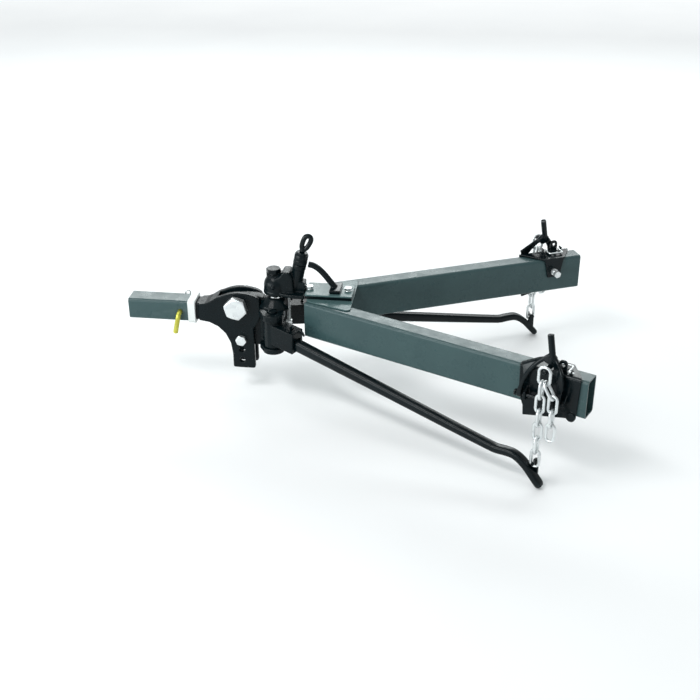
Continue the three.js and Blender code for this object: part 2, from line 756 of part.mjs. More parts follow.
const coupler = cut(
  join(
    slabXY(flange, COUPLER.low, COUPLER.flange, 5),
    lathe(shellProfile, 20).translate(BALL.x, 0, 0),
    slabXZ(back, -COUPLER.half, COUPLER.half, 5),
    bar(latchAxis(-8), latchAxis(LATCH.split), LATCH.radius, 24),
    bar([410, 0, 90], [410, 0, 119], 20, 24),
    box(470, 498, -16, 16, 66, 100),
  ),
  lathe(cavity, 20).translate(BALL.x, 0, 0),
  bar(latchAxis(40), latchAxis(LATCH.split + 5), LATCH.bore, 14),
);
place(hitch, 'coupler_body', coupler, blackCasting);
place(hitch, 'coupler_cap_nut', hexHead([410, 0, 119 + GAP], [410, 0, 133], 36, 0.5), blackCasting);

const sleeve = cut(
  join(
    bar(latchAxis(LATCH.split + GAP), latchAxis(LATCH.top - 6), LATCH.radius + 1.5, 24),
    bar(latchAxis(LATCH.top - 8), latchAxis(LATCH.top), LATCH.radius - 2, 24),
  ),
  bar(latchAxis(LATCH.split - 5), latchAxis(LATCH.top + 5), LATCH.bore, 14),
);
place(hitch, 'latch_sleeve', sleeve, blackCasting);

// pull ring: a plunger rod in the sleeve with a long forged eye on its top
const eyeLean = THREE.MathUtils.degToRad(25);
const eyeFoot = new THREE.Vector3(...latchAxis(LATCH.top + 5.5));
const eye = oval(9.5, 4.6, 14, 0, 8, 12).rotateX(Math.PI / 2).rotateY(eyeLean);
eye.translate(eyeFoot.x + 24 * Math.sin(eyeLean), 0, eyeFoot.z + 24 * Math.cos(eyeLean));
const plunger = bar(latchAxis(44), latchAxis(LATCH.top + 6), LATCH.bore - RUN, 14);
place(hitch, 'pull_ring', join(plunger, eye), blackSteel);

const grip = bentRod(
  [
    [505.5, 0, 149],
    [520, 0, 146],
    [536, 0, 136],
    [552, 0, 119],
    [566, 0, 101],
    [579, 0, 84],
  ],
  8.5,
  10,
  10,
);
place(hitch, 'grab_handle', join(grip, box(566, 596, -30, 30, PLATE.top + GAP, PLATE.top + 10)), blackSteel);

// ball clamp adjusting bolt, hanging behind the ball under the coupler
const clampX = 449;
place(
  hitch,
  'clamp_bolt',
  join(
    bar([clampX, 0, -22], [clampX, 0, COUPLER.low - GAP], 5, 14),
    hexHead([clampX, 0, -32], [clampX, 0, -21], 16),
  ),
  zinc,
);

export default hitch;
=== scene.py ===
import json
import math

import bmesh
import bpy
from mathutils import Matrix, Vector


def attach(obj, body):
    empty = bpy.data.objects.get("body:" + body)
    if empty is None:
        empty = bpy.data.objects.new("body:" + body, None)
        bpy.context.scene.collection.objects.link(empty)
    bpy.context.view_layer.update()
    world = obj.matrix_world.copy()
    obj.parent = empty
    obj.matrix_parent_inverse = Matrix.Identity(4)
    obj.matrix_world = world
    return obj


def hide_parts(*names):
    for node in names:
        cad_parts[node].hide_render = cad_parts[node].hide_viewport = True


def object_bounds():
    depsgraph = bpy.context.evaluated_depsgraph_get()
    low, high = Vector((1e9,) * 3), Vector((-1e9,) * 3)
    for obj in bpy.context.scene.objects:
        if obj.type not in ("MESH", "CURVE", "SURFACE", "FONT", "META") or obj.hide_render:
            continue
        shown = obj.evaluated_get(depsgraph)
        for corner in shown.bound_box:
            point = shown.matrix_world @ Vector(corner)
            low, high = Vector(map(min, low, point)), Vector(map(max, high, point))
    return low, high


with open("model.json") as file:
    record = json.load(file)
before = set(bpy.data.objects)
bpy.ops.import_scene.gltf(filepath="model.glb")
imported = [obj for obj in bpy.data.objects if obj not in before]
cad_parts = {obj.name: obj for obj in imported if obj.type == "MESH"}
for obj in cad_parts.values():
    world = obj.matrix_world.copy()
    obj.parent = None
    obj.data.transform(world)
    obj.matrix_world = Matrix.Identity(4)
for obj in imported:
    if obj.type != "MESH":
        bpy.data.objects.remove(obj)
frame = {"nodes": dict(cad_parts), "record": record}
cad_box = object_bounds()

# Shapes are written in millimetres and scaled to the row frame's metres at the end.
MM = 0.001
TAU = 2 * math.pi
RECORD = frame["record"]
BODY = {n: body for body, nodes in RECORD["behaviour"]["bodies"].items() for n in nodes}
SLOT = {e["node"]: e["material_slot"] for e in RECORD["subparts"]}
SCENE = bpy.context.scene


# ---------------------------------------------------------------- materials
def tree_of(name):
    mat = bpy.data.materials.new(name)
    mat.use_nodes = True
    nodes = mat.node_tree.nodes
    return mat, nodes, mat.node_tree.links, nodes["Principled BSDF"]


def noise(nodes, links, coords, scale, detail=3.0, rough=0.5, stretch=None):
    tex = nodes.new("ShaderNodeTexNoise")
    tex.inputs["Scale"].default_value = scale
    tex.inputs["Detail"].default_value = detail
    tex.inputs["Roughness"].default_value = rough
    if stretch:
        mapping = nodes.new("ShaderNodeMapping")
        mapping.inputs["Scale"].default_value = stretch
        links.new(coords, mapping.inputs["Vector"])
        coords = mapping.outputs["Vector"]
    links.new(coords, tex.inputs["Vector"])
    return tex.outputs["Fac"]


def ramp(nodes, links, value, stops):
    node = nodes.new("ShaderNodeValToRGB")
    elements = node.color_ramp.elements
    while len(elements) < len(stops):
        elements.new(0.5)
    for element, (at, colour) in zip(elements, stops):
        element.position = at
        if isinstance(colour, (int, float)):
            colour = (colour, colour, colour)
        element.color = (*colour, 1.0)
    links.new(value, node.inputs["Fac"])
    return node.outputs["Color"]


def mix(nodes, links, factor, a, b):
    node = nodes.new("ShaderNodeMix")
    node.data_type = "RGBA"
    for socket, value in ((node.inputs[0], factor), (node.inputs[6], a), (node.inputs[7], b)):
        if isinstance(value, bpy.types.NodeSocket):
            links.new(value, socket)
        elif isinstance(value, (int, float)):
            socket.default_value = value
        else:
            socket.default_value = (*value, 1.0)
    return node.outputs[2]


def times(nodes, links, a, b):
    node = nodes.new("ShaderNodeMath")
    node.operation = "MULTIPLY"
    links.new(a, node.inputs[0])
    if isinstance(b, (int, float)):
        node.inputs[1].default_value = b
    else:
        links.new(b, node.inputs[1])
    return node.outputs[0]


def bump(nodes, links, shader, layers):
    previous = None
    for height, strength, distance in layers:
        node = nodes.new("ShaderNodeBump")
        node.inputs["Strength"].default_value = strength
        node.inputs["Distance"].default_value = distance
        links.new(height, node.inputs["Height"])
        if previous:
            links.new(previous, node.inputs["Normal"])
        previous = node.outputs["Normal"]
    links.new(previous, shader.inputs["Normal"])


def edge_mask(nodes, links, coords, low=0.53, high=0.60):
    """Worn edges: convex places, broken up by a patchy noise."""
    geometry = nodes.new("ShaderNodeNewGeometry")
    convex = ramp(nodes, links, geometry.outputs["Pointiness"], [(low, 0.0), (high, 1.0)])
    patches = ramp(nodes, links, noise(nodes, links, coords, 55, 4), [(0.42, 0.0), (0.62, 1.0)])
    return times(nodes, links, convex, patches)


def paint(name, colour, dark, rough, worn, wear=0.6, peel=0.12, specular=0.5, coat=0.0):
    """Sprayed or powder-coated paint: cloudy tone, orange peel, dust specks and rubbed edges."""
    mat, nodes, links, shader = tree_of(name)
    coords = nodes.new("ShaderNodeTexCoord").outputs["Object"]
    cloud = ramp(nodes, links, noise(nodes, links, coords, 9, 5, 0.6), [(0.35, 0.0), (0.68, 1.0)])
    body = mix(nodes, links, cloud, dark, colour)
    specks = ramp(nodes, links, noise(nodes, links, coords, 420, 2), [(0.66, 0.0), (0.74, 1.0)])
    dust = [min(1.0, c * 2.2 + 0.02) for c in colour]
    body = mix(nodes, links, times(nodes, links, specks, 0.22), body, dust)
    mask = times(nodes, links, edge_mask(nodes, links, coords), wear)
    links.new(mix(nodes, links, mask, body, worn), shader.inputs["Base Color"])
    smudge = noise(nodes, links, coords, 26, 6, 0.65)
    gloss = ramp(nodes, links, smudge, [(0.3, rough - 0.09), (0.7, rough + 0.10)])
    links.new(mix(nodes, links, mask, gloss, (0.5, 0.5, 0.5)), shader.inputs["Roughness"])
    shader.inputs["Specular IOR Level"].default_value = specular
    shader.inputs["Coat Weight"].default_value = coat
    shader.inputs["Coat Roughness"].default_value = 0.12
    orange_peel = noise(nodes, links, coords, 330, 2)
    waves = noise(nodes, links, coords, 28, 3)
    bump(nodes, links, shader, [(orange_peel, peel, 0.0004), (waves, 0.03, 0.0012)])
    return mat


def casting_paint(name, colour, dark, rough, worn):
    """Gloss paint over a sand-cast or forged skin: the grain of the casting shows through it."""
    mat, nodes, links, shader = tree_of(name)
    coords = nodes.new("ShaderNodeTexCoord").outputs["Object"]
    cloud = ramp(nodes, links, noise(nodes, links, coords, 16, 6, 0.6), [(0.35, 0.0), (0.7, 1.0)])
    body = mix(nodes, links, cloud, dark, colour)
    mask = times(nodes, links, edge_mask(nodes, links, coords, 0.535, 0.62), 0.45)
    links.new(mix(nodes, links, mask, body, worn), shader.inputs["Base Color"])
    smudge = noise(nodes, links, coords, 60, 5, 0.7)
    gloss = ramp(nodes, links, smudge, [(0.3, rough - 0.08), (0.7, rough + 0.12)])
    links.new(gloss, shader.inputs["Roughness"])
    shader.inputs["Specular IOR Level"].default_value = 0.15
    grain = noise(nodes, links, coords, 520, 4, 0.6)
    pits = ramp(nodes, links, noise(nodes, links, coords, 190, 3), [(0.28, 0.0), (0.42, 1.0)])
    waves = noise(nodes, links, coords, 34, 4)
    bump(nodes, links, shader, [(grain, 0.14, 0.0005), (pits, 0.10, 0.0006), (waves, 0.12, 0.002)])
    return mat


def plated(name, light, dark, rough, tint=None, spangle=70.0):
    """Zinc plating: crystals of slightly different tone, with painted shade darkening the hollows."""
    mat, nodes, links, shader = tree_of(name)
    coords = nodes.new("ShaderNodeTexCoord").outputs["Object"]
    cells = nodes.new("ShaderNodeTexVoronoi")
    cells.inputs["Scale"].default_value = spangle
    links.new(coords, cells.inputs["Vector"])
    grey = nodes.new("ShaderNodeRGBToBW")
    links.new(cells.outputs["Color"], grey.inputs["Color"])
    crystal = mix(nodes, links, grey.outputs["Val"], dark, light)
    cloud = ramp(nodes, links, noise(nodes, links, coords, 40, 5, 0.6), [(0.35, 0.0), (0.65, 1.0)])
    body = mix(nodes, links, times(nodes, links, cloud, 0.55), crystal, tint or light)
    geometry = nodes.new("ShaderNodeNewGeometry")
    # Painted shade: the base colour is darkened in concave places, where little light reaches.
    hollow = ramp(nodes, links, geometry.outputs["Pointiness"], [(0.40, 1.0), (0.49, 0.0)])
    body = mix(nodes, links, times(nodes, links, hollow, 0.7), body, [c * 0.35 for c in dark])
    links.new(body, shader.inputs["Base Color"])
    shader.inputs["Metallic"].default_value = 0.85
    gloss = ramp(nodes, links, noise(nodes, links, coords, 90, 4), [(0.3, rough - 0.08), (0.7, rough + 0.1)])
    links.new(gloss, shader.inputs["Roughness"])
    grain = noise(nodes, links, coords, 600, 3)
    ripple = noise(nodes, links, coords, 110, 3)
    bump(nodes, links, shader, [(grain, 0.10, 0.0003), (ripple, 0.14, 0.0006)])
    return mat


def polished(name):
    """Chrome on a machined ball: fine turning marks and handling smears."""
    mat, nodes, links, shader = tree_of(name)
    coords = nodes.new("ShaderNodeTexCoord").outputs["Object"]
    smear = noise(nodes, links, coords, 45, 6, 0.7)
    tone = ramp(nodes, links, smear, [(0.3, (0.60, 0.63, 0.64)), (0.7, (0.80, 0.82, 0.82))])
    links.new(tone, shader.inputs["Base Color"])
    links.new(ramp(nodes, links, smear, [(0.35, 0.07), (0.75, 0.24)]), shader.inputs["Roughness"])
    shader.inputs["Metallic"].default_value = 1.0
    rings = noise(nodes, links, coords, 8, 2, 0.5, (1, 1, 160))
    bump(nodes, links, shader, [(rings, 0.08, 0.0002)])
    return mat


MATERIAL = {
    "grey_paint": paint(
        "rail_paint", (0.034, 0.068, 0.070), (0.028, 0.058, 0.061), rough=0.30,
        worn=(0.20, 0.25, 0.25), wear=0.25, peel=0.06, specular=0.26, coat=0.06,
    ),
    "light_paint": paint(
        "plate_paint", (0.062, 0.112, 0.112), (0.052, 0.098, 0.099), rough=0.30,
        worn=(0.28, 0.33, 0.33), wear=0.25, peel=0.06, specular=0.26, coat=0.06,
    ),
    "white_paint": paint(
        "collar_paint", (0.66, 0.69, 0.68), (0.58, 0.61, 0.60), rough=0.45,
        worn=(0.55, 0.56, 0.56), wear=0.2, peel=0.08, specular=0.4,
    ),
    "black_steel": paint(
        "black_gloss", (0.0016, 0.0056, 0.0072), (0.0008, 0.0034, 0.0046), rough=0.22,
        worn=(0.036, 0.050, 0.054), wear=0.35, peel=0.08, specular=0.12, coat=0.14,
    ),
    "black_casting": casting_paint(
        "black_casting", (0.0018, 0.0060, 0.0074), (0.0010, 0.0036, 0.0048), rough=0.25,
        worn=(0.036, 0.050, 0.054),
    ),
    "zinc": plated("zinc_plate", (0.76, 0.79, 0.79), (0.58, 0.61, 0.62), rough=0.33),
    "yellow_zinc": plated(
        "yellow_passivate", (0.58, 0.54, 0.085), (0.42, 0.40, 0.055), rough=0.32,
        tint=(0.47, 0.50, 0.10), spangle=120.0,
    ),
    "chrome": polished("ball_chrome"),
}


# ---------------------------------------------------------------- mesh helpers, in millimetres
def fillet(points, radius, steps=5):
    """The polygon with each corner rounded. A point may carry its own radius as a third value."""
    out = []
    count = len(points)
    for i, p in enumerate(points):
        own = p[2] if len(p) > 2 else radius
        here = Vector(p[:2])
        if own <= 0:
            out.append(here)
            continue
        before = Vector(points[i - 1][:2]) - here
        after = Vector(points[(i + 1) % count][:2]) - here
        if before.length < 1e-6 or after.length < 1e-6:
            out.append(here)
            continue
        bend = before.angle(after)
        if bend > math.radians(177):
            out.append(here)
            continue
        reach = min(own / math.tan(bend / 2), before.length * 0.48, after.length * 0.48)
        start = here + before.normalized() * reach
        end = here + after.normalized() * reach
        for k in range(steps + 1):
            t = k / steps
            out.append(start * (1 - t) ** 2 + here * 2 * t * (1 - t) + end * t * t)
    return out


def circle(x, y, radius, steps=32):
    angles = [TAU * k / steps for k in range(steps)]
    return [Vector((x + radius * math.cos(a), y + radius * math.sin(a))) for a in angles]


def oblong(width, height, radius, x=0.0, y=0.0, steps=8):
    w, h = width / 2, height / 2
    return fillet([(x - w, y - h), (x + w, y - h), (x + w, y + h), (x - w, y + h)], radius, steps)


def mesh_of(verts, faces, name="shape"):
    mesh = bpy.data.meshes.new(name)
    mesh.from_pydata([tuple(v) for v in verts], [], faces)
    mesh.update()
    return mesh


def evaluated(obj):
    depsgraph = bpy.context.evaluated_depsgraph_get()
    depsgraph.update()
    mesh = bpy.data.meshes.new_from_object(obj.evaluated_get(depsgraph))
    bpy.data.objects.remove(obj)
    return mesh


def holder(data, name="work"):
    obj = bpy.data.objects.new(name, data)
    SCENE.collection.objects.link(obj)
    return obj


PLANES = {
    "XY": Matrix.Identity(4),
    "XZ": Matrix(((1, 0, 0, 0), (0, 0, 1, 0), (0, 1, 0, 0), (0, 0, 0, 1))),
    "YZ": Matrix(((0, 0, 1, 0), (1, 0, 0, 0), (0, 1, 0, 0), (0, 0, 0, 1))),
}


def slab(outlines, low, high, bevel=1.0, plane="XY", rounds=3):
    """A plate with rounded edges between low and high across the plane; inner outlines are holes."""
    curve = bpy.data.curves.new("slab", "CURVE")
    curve.dimensions = "2D"
    curve.fill_mode = "BOTH"
    for points in outlines:
        spline = curve.splines.new("POLY")
        spline.points.add(len(points) - 1)
        for target, p in zip(spline.points, points):
            target.co = (p[0], p[1], 0, 1)
        spline.use_cyclic_u = True
    curve.extrude = (high - low) / 2 - bevel
    curve.bevel_depth = bevel
    curve.bevel_resolution = rounds
    curve.offset = -bevel
    mesh = evaluated(holder(curve))
    mesh.transform(PLANES[plane] @ Matrix.Translation((0, 0, (low + high) / 2)))
    return mesh


def loft(rings, loop=False, capped=True):
    """Quads between rings of equal length; with loop the last ring joins the first."""
    size = len(rings[0])
    verts = [v for ring in rings for v in ring]
    faces = []
    spans = len(rings) if loop else len(rings) - 1
    for i in range(spans):
        a, b = i * size, ((i + 1) % len(rings)) * size
        faces += [(a + k, a + (k + 1) % size, b + (k + 1) % size, b + k) for k in range(size)]
    if capped and not loop:
        for start in (0, (len(rings) - 1) * size):
            verts.append(sum((Vector(verts[start + k]) for k in range(size)), Vector()) / size)
            faces += [(start + k, start + (k + 1) % size, len(verts) - 1) for k in range(size)]
    return mesh_of(verts, faces)


def to_axis(start, direction):
    """Matrix that takes +Z at the origin to a direction at a point."""
    turn = Vector((0, 0, 1)).rotation_difference(Vector(direction))
    return Matrix.Translation(Vector(start)) @ turn.to_matrix().to_4x4()


def turned(profile, start=(0, 0, 0), direction=(0, 0, 1), steps=48):
    """A lathe shape. The profile is (radius, height) pairs and runs from axis to axis, or loops."""
    points = [Vector(p) for p in profile]
    angles = [TAU * k / steps for k in range(steps)]
    rings = [[Vector((p[0] * math.cos(a), p[0] * math.sin(a), p[1])) for a in angles] for p in points]
    mesh = loft(rings, capped=False)
    mesh.transform(to_axis(start, direction))
    return mesh


def curve_points(points, count, tension=0.5):
    """Evenly spaced points on a smooth curve through the given ones."""
    pts = [Vector(p) for p in points]
    pts = [pts[0] * 2 - pts[1]] + pts + [pts[-1] * 2 - pts[-2]]
    fine = []
    for i in range(1, len(pts) - 2):
        p0, p1, p2, p3 = pts[i - 1 : i + 3]
        m1, m2 = (p2 - p0) * tension, (p3 - p1) * tension
        scale = (p2 - p1).length
        m1 = m1.normalized() * min(m1.length, scale)
        m2 = m2.normalized() * min(m2.length, scale)
        for k in range(24):
            t = k / 24
            fine.append(
                p1 * (2 * t**3 - 3 * t**2 + 1)
                + m1 * (t**3 - 2 * t**2 + t)
                + p2 * (-2 * t**3 + 3 * t**2)
                + m2 * (t**3 - t**2)
            )
    fine.append(pts[-2])
    lengths = [0.0]
    for a, b in zip(fine, fine[1:]):
        lengths.append(lengths[-1] + (b - a).length)
    out, at = [], 0
    for k in range(count):
        want = lengths[-1] * k / (count - 1)
        while at < len(lengths) - 2 and lengths[at + 1] < want:
            at += 1
        span = max(lengths[at + 1] - lengths[at], 1e-9)
        out.append(fine[at].lerp(fine[at + 1], (want - lengths[at]) / span))
    return out


def frames(path, up, loop=False):
    """Tangent, side and up at each point of a path, carried along without twist."""
    count = len(path)
    side_of = []
    lift = Vector(up)
    for i in range(count):
        if loop:
            ahead, behind = path[(i + 1) % count], path[i - 1]
        else:
            ahead, behind = path[min(i + 1, count - 1)], path[max(i - 1, 0)]
        tangent = (ahead - behind).normalized()
        lift = (lift - tangent * lift.dot(tangent)).normalized()
        side_of.append((tangent, tangent.cross(lift), lift.copy()))
    return side_of


def swept(path, section, up=(0, 0, 1), loop=False):
    """section(t) gives the (side, up) outline at fraction t of the path."""
    rings = []
    for i, (point, (_, side, lift)) in enumerate(zip(path, frames(path, up, loop))):
        outline = section(i / (len(path) - 1))
        rings.append([point + side * p[0] + lift * p[1] for p in outline])
    return loft(rings, loop=loop)


def rod(points, radius, count=48, sides=16, up=(0.3, 0.2, 1), tension=0.5, ends=0.35):
    """A round bar bent along a curve. Its end faces are dished by the share of the radius in ends."""
    path = curve_points(points, count, tension)
    angles = [TAU * k / sides for k in range(sides)]
    ring = [(radius * math.cos(a), radius * math.sin(a)) for a in angles]
    depth = radius * ends
    cap_rings = 4
    bases = frames(path, up)
    rings = []

    def add(point, basis, scale):
        rings.append([point + basis[1] * p[0] * scale + basis[2] * p[1] * scale for p in ring])

    def add_cap(end, basis, inward, order):
        for k in order:
            rise = math.sin(math.pi / 2 * k / cap_rings)
            add(end + inward * depth * (1 - rise), basis, 1 - ends * (1 - rise))

    first, last = bases[0][0], bases[-1][0]
    inner = [path[0] + first * depth, *path[1:-1], path[-1] - last * depth]
    add_cap(path[0], bases[0], first, range(cap_rings))
    for point, basis in zip(inner, bases):
        add(point, basis, 1.0)
    add_cap(path[-1], bases[-1], -last, reversed(range(cap_rings)))
    return loft(rings)


def hexagon(start, direction, flats, height, bore=0.0, spin=0.0):
    """A hexagon head or nut with turned chamfers and slightly broken corners."""
    angles = []
    for face in range(6):
        for a in (-29.2, -26, -18, -9, 0, 9, 18, 26, 29.2):
            angles.append(math.radians(face * 60 + a))
    reach = [flats / 2 / math.cos((a + math.pi / 6) % (math.pi / 3) - math.pi / 6) for a in angles]
    rim = flats / 2 * 0.965
    slope = math.tan(math.radians(30))

    def ring(radii, heights):
        return [
            Vector((r * math.cos(a + spin), r * math.sin(a + spin), h))
            for a, r, h in zip(angles, radii, heights)
        ]

    def level(radius, z):
        return ring([radius] * len(angles), [z] * len(angles))

    low = [max(0, r - rim) * slope for r in reach]
    top = [height - rise for rise in low]
    inner = bore * 1.08 if bore else 0.001
    rings = [level(inner, 0), level(rim, 0), ring(reach, low), ring(reach, top), level(rim, height)]
    if not bore:
        rings.append(level(rim * 0.9, height))
    rings.append(level(inner, height))
    if bore:
        rings += [level(bore, height - bore * 0.08), level(bore, bore * 0.08)]
    mesh = loft(rings, loop=bool(bore), capped=False)
    mesh.transform(to_axis(start, direction))
    return mesh


def threaded(start, end, radius, pitch, sides=24, lead=1.2):
    """A threaded shaft with chamfered ends."""
    start, end = Vector(start), Vector(end)
    length = (end - start).length
    depth = pitch * 0.45
    rings = []
    steps = max(4, int(length / pitch * 5))
    for i in range(steps + 1):
        z = length * i / steps
        taper = min(1.0, z / lead, (length - z) / lead)
        ring = []
        for k in range(sides):
            phase = (z / pitch - k / sides) % 1.0
            tooth = 1 - abs(phase * 2 - 1)
            r = radius - depth * (1 - tooth) - (1 - max(taper, 0)) * lead * 0.6
            ring.append(Vector((r * math.cos(TAU * k / sides), r * math.sin(TAU * k / sides), z)))
        rings.append(ring)
    mesh = loft(rings)
    mesh.transform(to_axis(start, end - start))
    return mesh


def shaft(start, end, radius, chamfer=0.8, steps=32):
    start, end = Vector(start), Vector(end)
    length = (end - start).length
    profile = [(0.001, 0), (radius - chamfer, 0), (radius, chamfer), (radius, length - chamfer)]
    profile += [(radius - chamfer, length), (0.001, length)]
    return turned(profile, start, end - start, steps)


def cad_mesh(node, local=None):
    """A copy of a CAD node's mesh in millimetres, in a local frame."""
    source = frame["nodes"][node]
    mesh = source.data.copy()
    mesh.transform(source.matrix_world)
    mesh.transform(Matrix.Scale(1 / MM, 4))
    if local:
        mesh.transform(local.inverted())
    return mesh


def joined(meshes):
    bm = bmesh.new()
    for mesh in meshes:
        part = bmesh.new()
        part.from_mesh(mesh)
        bmesh.ops.remove_doubles(part, verts=part.verts, dist=0.002)
        bmesh.ops.recalc_face_normals(part, faces=part.faces)
        whole = bpy.data.meshes.new("part")
        part.to_mesh(whole)
        part.free()
        bm.from_mesh(whole)
        bpy.data.meshes.remove(whole)
    out = bpy.data.meshes.new("joined")
    bm.to_mesh(out)
    bm.free()
    return out


def forged(meshes, voxel=1.2, smooth=6, cutters=()):
    """One casting from overlapping solids, edges rounded and corners filled as a mould leaves them."""
    work = holder(joined(meshes))
    remesh = work.modifiers.new("remesh", "REMESH")
    remesh.mode = "VOXEL"
    remesh.voxel_size = voxel
    soften = work.modifiers.new("soften", "SMOOTH")
    soften.factor = 0.5
    soften.iterations = smooth
    mesh = evaluated(work)
    return carved(mesh, cutters)


def carved(mesh, cutters):
    for cutter in cutters:
        work = holder(mesh)
        tool = holder(joined([cutter]), "tool")
        cut = work.modifiers.new("cut", "BOOLEAN")
        cut.operation = "DIFFERENCE"
        cut.solver = "EXACT"
        cut.object = tool
        mesh = evaluated(work)
        bpy.data.objects.remove(tool)
    return mesh


def mirrored(mesh):
    copy = mesh.copy()
    copy.transform(Matrix.Scale(-1, 4, (0, 1, 0)))
    return copy


def piece(node, meshes, local=None, material=None, sharp=38, weighted=False):
    """A finished piece that stands for one CAD node."""
    mesh = joined(meshes if isinstance(meshes, (list, tuple)) else [meshes])
    if local:
        mesh.transform(local)
    mesh.transform(Matrix.Scale(MM, 4))
    bm = bmesh.new()
    bm.from_mesh(mesh)
    bmesh.ops.recalc_face_normals(bm, faces=bm.faces)
    bm.to_mesh(mesh)
    bm.free()
    mesh.name = node
    mesh.shade_smooth()
    mesh.set_sharp_from_angle(angle=math.radians(sharp))
    mesh.materials.clear()
    mesh.materials.append(material or MATERIAL[SLOT[node]])
    obj = bpy.data.objects.new(f"{node}_body", mesh)
    SCENE.collection.objects.link(obj)
    if weighted:
        normal = obj.modifiers.new("normals", "WEIGHTED_NORMAL")
        normal.keep_sharp = True
    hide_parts(node)
    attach(obj, BODY[node])
    return obj


def pair(stem, meshes, local, tail="", **options):
    """The same piece on both sides, made in a frame of the vehicle's left side."""
    mesh = joined(meshes if isinstance(meshes, (list, tuple)) else [meshes])
    mesh.transform(local)
    piece(f"{stem}_l{tail}", mesh, **options)
    piece(f"{stem}_r{tail}", mirrored(mesh), **options)


# The left side has two frames: along the rail from its front outer corner, and along the spring bar.
BALL_X = 415
RAIL_TURN, RAIL_CORNER = math.radians(25), (502.3, -60, 61)
BAR_TURN, TRUNNION = math.radians(26), (BALL_X, -60, 0)
FLIP_Y = Matrix.Scale(-1, 4, (0, 1, 0))
RAIL_FRAME = Matrix.Translation(RAIL_CORNER) @ Matrix.Rotation(-RAIL_TURN, 4, "Z")
BAR_FRAME = Matrix.Translation(TRUNNION) @ Matrix.Rotation(-BAR_TURN, 4, "Z") @ FLIP_Y


# ---------------------------------------------------------------- receiver and drawbar
TUBE, TUBE_BORE, TUBE_LENGTH = 60, 50.6, 188
PIN_X = 147

tube_outer = oblong(TUBE, TUBE, 9, steps=10)
bore = oblong(TUBE_BORE, TUBE_BORE, 5.5)
receiver = slab([tube_outer, bore], 0, TUBE_LENGTH, 0.7, "YZ")
pin_hole = shaft((PIN_X, -TUBE, 0), (PIN_X, TUBE, 0), 7.6, 0.1)
piece("receiver_tube", carved(receiver, [pin_hole]), weighted=True)


def square_ring(stations):
    """A square band. Each station is (x, side of the square, corner radius)."""
    rings = []
    for x, size, corner in stations:
        rings.append([Vector((x, p[0], p[1])) for p in oblong(size, size, corner)])
    return loft(rings, loop=True)


collar_stations = [
    (170.2, 61.4, 8), (170, 62.6, 8.5), (170, 66.4, 10), (170.6, 68.2, 10.8), (172, 69, 11),
    (174.6, 69, 11), (175.4, 68.0, 10.6), (185.4, 68.0, 10.6), (186.2, 69, 11),
    (188.8, 69, 11), (190.1, 68.0, 10.8), (190.5, 66.2, 10), (190.5, 53, 6.5), (189.6, 51.2, 5.8),
    (188.4, 51.0, 5.8), (188.4, 60.8, 8),
]
piece("receiver_collar", square_ring(collar_stations), weighted=True)

pin_path = [
    (PIN_X, 44, 0), (PIN_X, 0, 0), (PIN_X, -34, 0),
    (146, -43.5, -3.4), (144, -46, -14), (134, -46, -58),
]
pin_body = rod(pin_path, 6.9, 90, 20, (1, 0, 0.2), 0.35, 0.28)
clip_bore = shaft((PIN_X, 38, -12), (PIN_X, 38, 12), 2.5, 0.1, 16)
piece("hitch_pin", carved(pin_body, [clip_bore]))
clip_path = [
    (PIN_X, 38, -20), (PIN_X, 38, 14), (PIN_X, 39, 26), (152, 40, 34), (160, 40, 30), (159, 39, 18),
    (156.6, 38, 8), (159, 38, -4), (157, 38, -16),
]
piece("hitch_pin_clip", rod(clip_path, 1.9, 90, 12, (0, 1, 0)))

piece("shank", forged([cad_mesh("shank")], 1.15, 14))


def through_bolt(stem, at, radius, flats, head, nut, pitch, spin):
    """A head bolt across the cheeks: head on the left, nut on the right."""
    x, z = at
    face = 29.3
    end = face + nut + 6
    head_mesh = hexagon((x, -face, z), (0, -1, 0), flats, head, spin=spin)
    collar = turned(
        [(0.001, 0), (flats * 0.475, 0), (flats * 0.475, 0.5), (0.001, 0.5)], (x, -face, z), (0, 1, 0)
    )
    body = shaft((x, -face - 1, z), (x, face + 1, z), radius - 0.3)
    thread = threaded((x, face, z), (x, end, z), radius - 0.3, pitch, 36, 1.6)
    piece(f"{stem}_bolt", [head_mesh, collar, body, thread])
    piece(f"{stem}_nut", hexagon((x, face, z), (0, 1, 0), flats - 5, nut, radius, spin))


through_bolt("pivot", (308, 24), radius=18, flats=57, head=23, nut=28, pitch=3.0, spin=math.radians(15))
through_bolt("adjust", (317, -78), radius=9, flats=27, head=11, nut=15, pitch=2.0, spin=math.radians(20))

# ---------------------------------------------------------------- ball mount
piece("ball_mount_head", forged([cad_mesh("ball_mount_head")], 1.15, 12))

BALL_RADIUS, BALL_NECK, BALL_Z = 25, 14, 85
neck = math.acos(BALL_NECK / BALL_RADIUS)
ball_profile = [
    (0.001, -22), (12, -22), (13, -21), (13, 51.3), (22.4, 51.3), (23, 52), (23, 55.6), (22.2, 56.4),
    (16.6, 57.4), (14.6, 58.6), (BALL_NECK, 60.4),
]
for k in range(24):
    angle = -neck + (math.pi / 2 + neck) * k / 24
    ball_profile.append((BALL_RADIUS * math.cos(angle), BALL_Z + BALL_RADIUS * math.sin(angle)))
ball_profile += [(9, 109.6), (0.001, 109.6)]
piece("tow_ball", turned(ball_profile, (BALL_X, 0, 0), steps=72))
piece("tow_ball_nut", hexagon((BALL_X, 0, -16), (0, 0, 1), 42, 24.5, 13))


# ---------------------------------------------------------------- spring bars
def bar_z(reach):
    return -33.7 - 0.189 * reach


BAR_SPINE = [
    (34, 0, bar_z(34)), (360, 0, bar_z(360)), (681, 0, bar_z(681)), (713, 0, -161.5), (735, 0, -162),
    (753, 0, -169.5), (775, 0, -187), (797, 0, -212), (814, 0, -231),
]


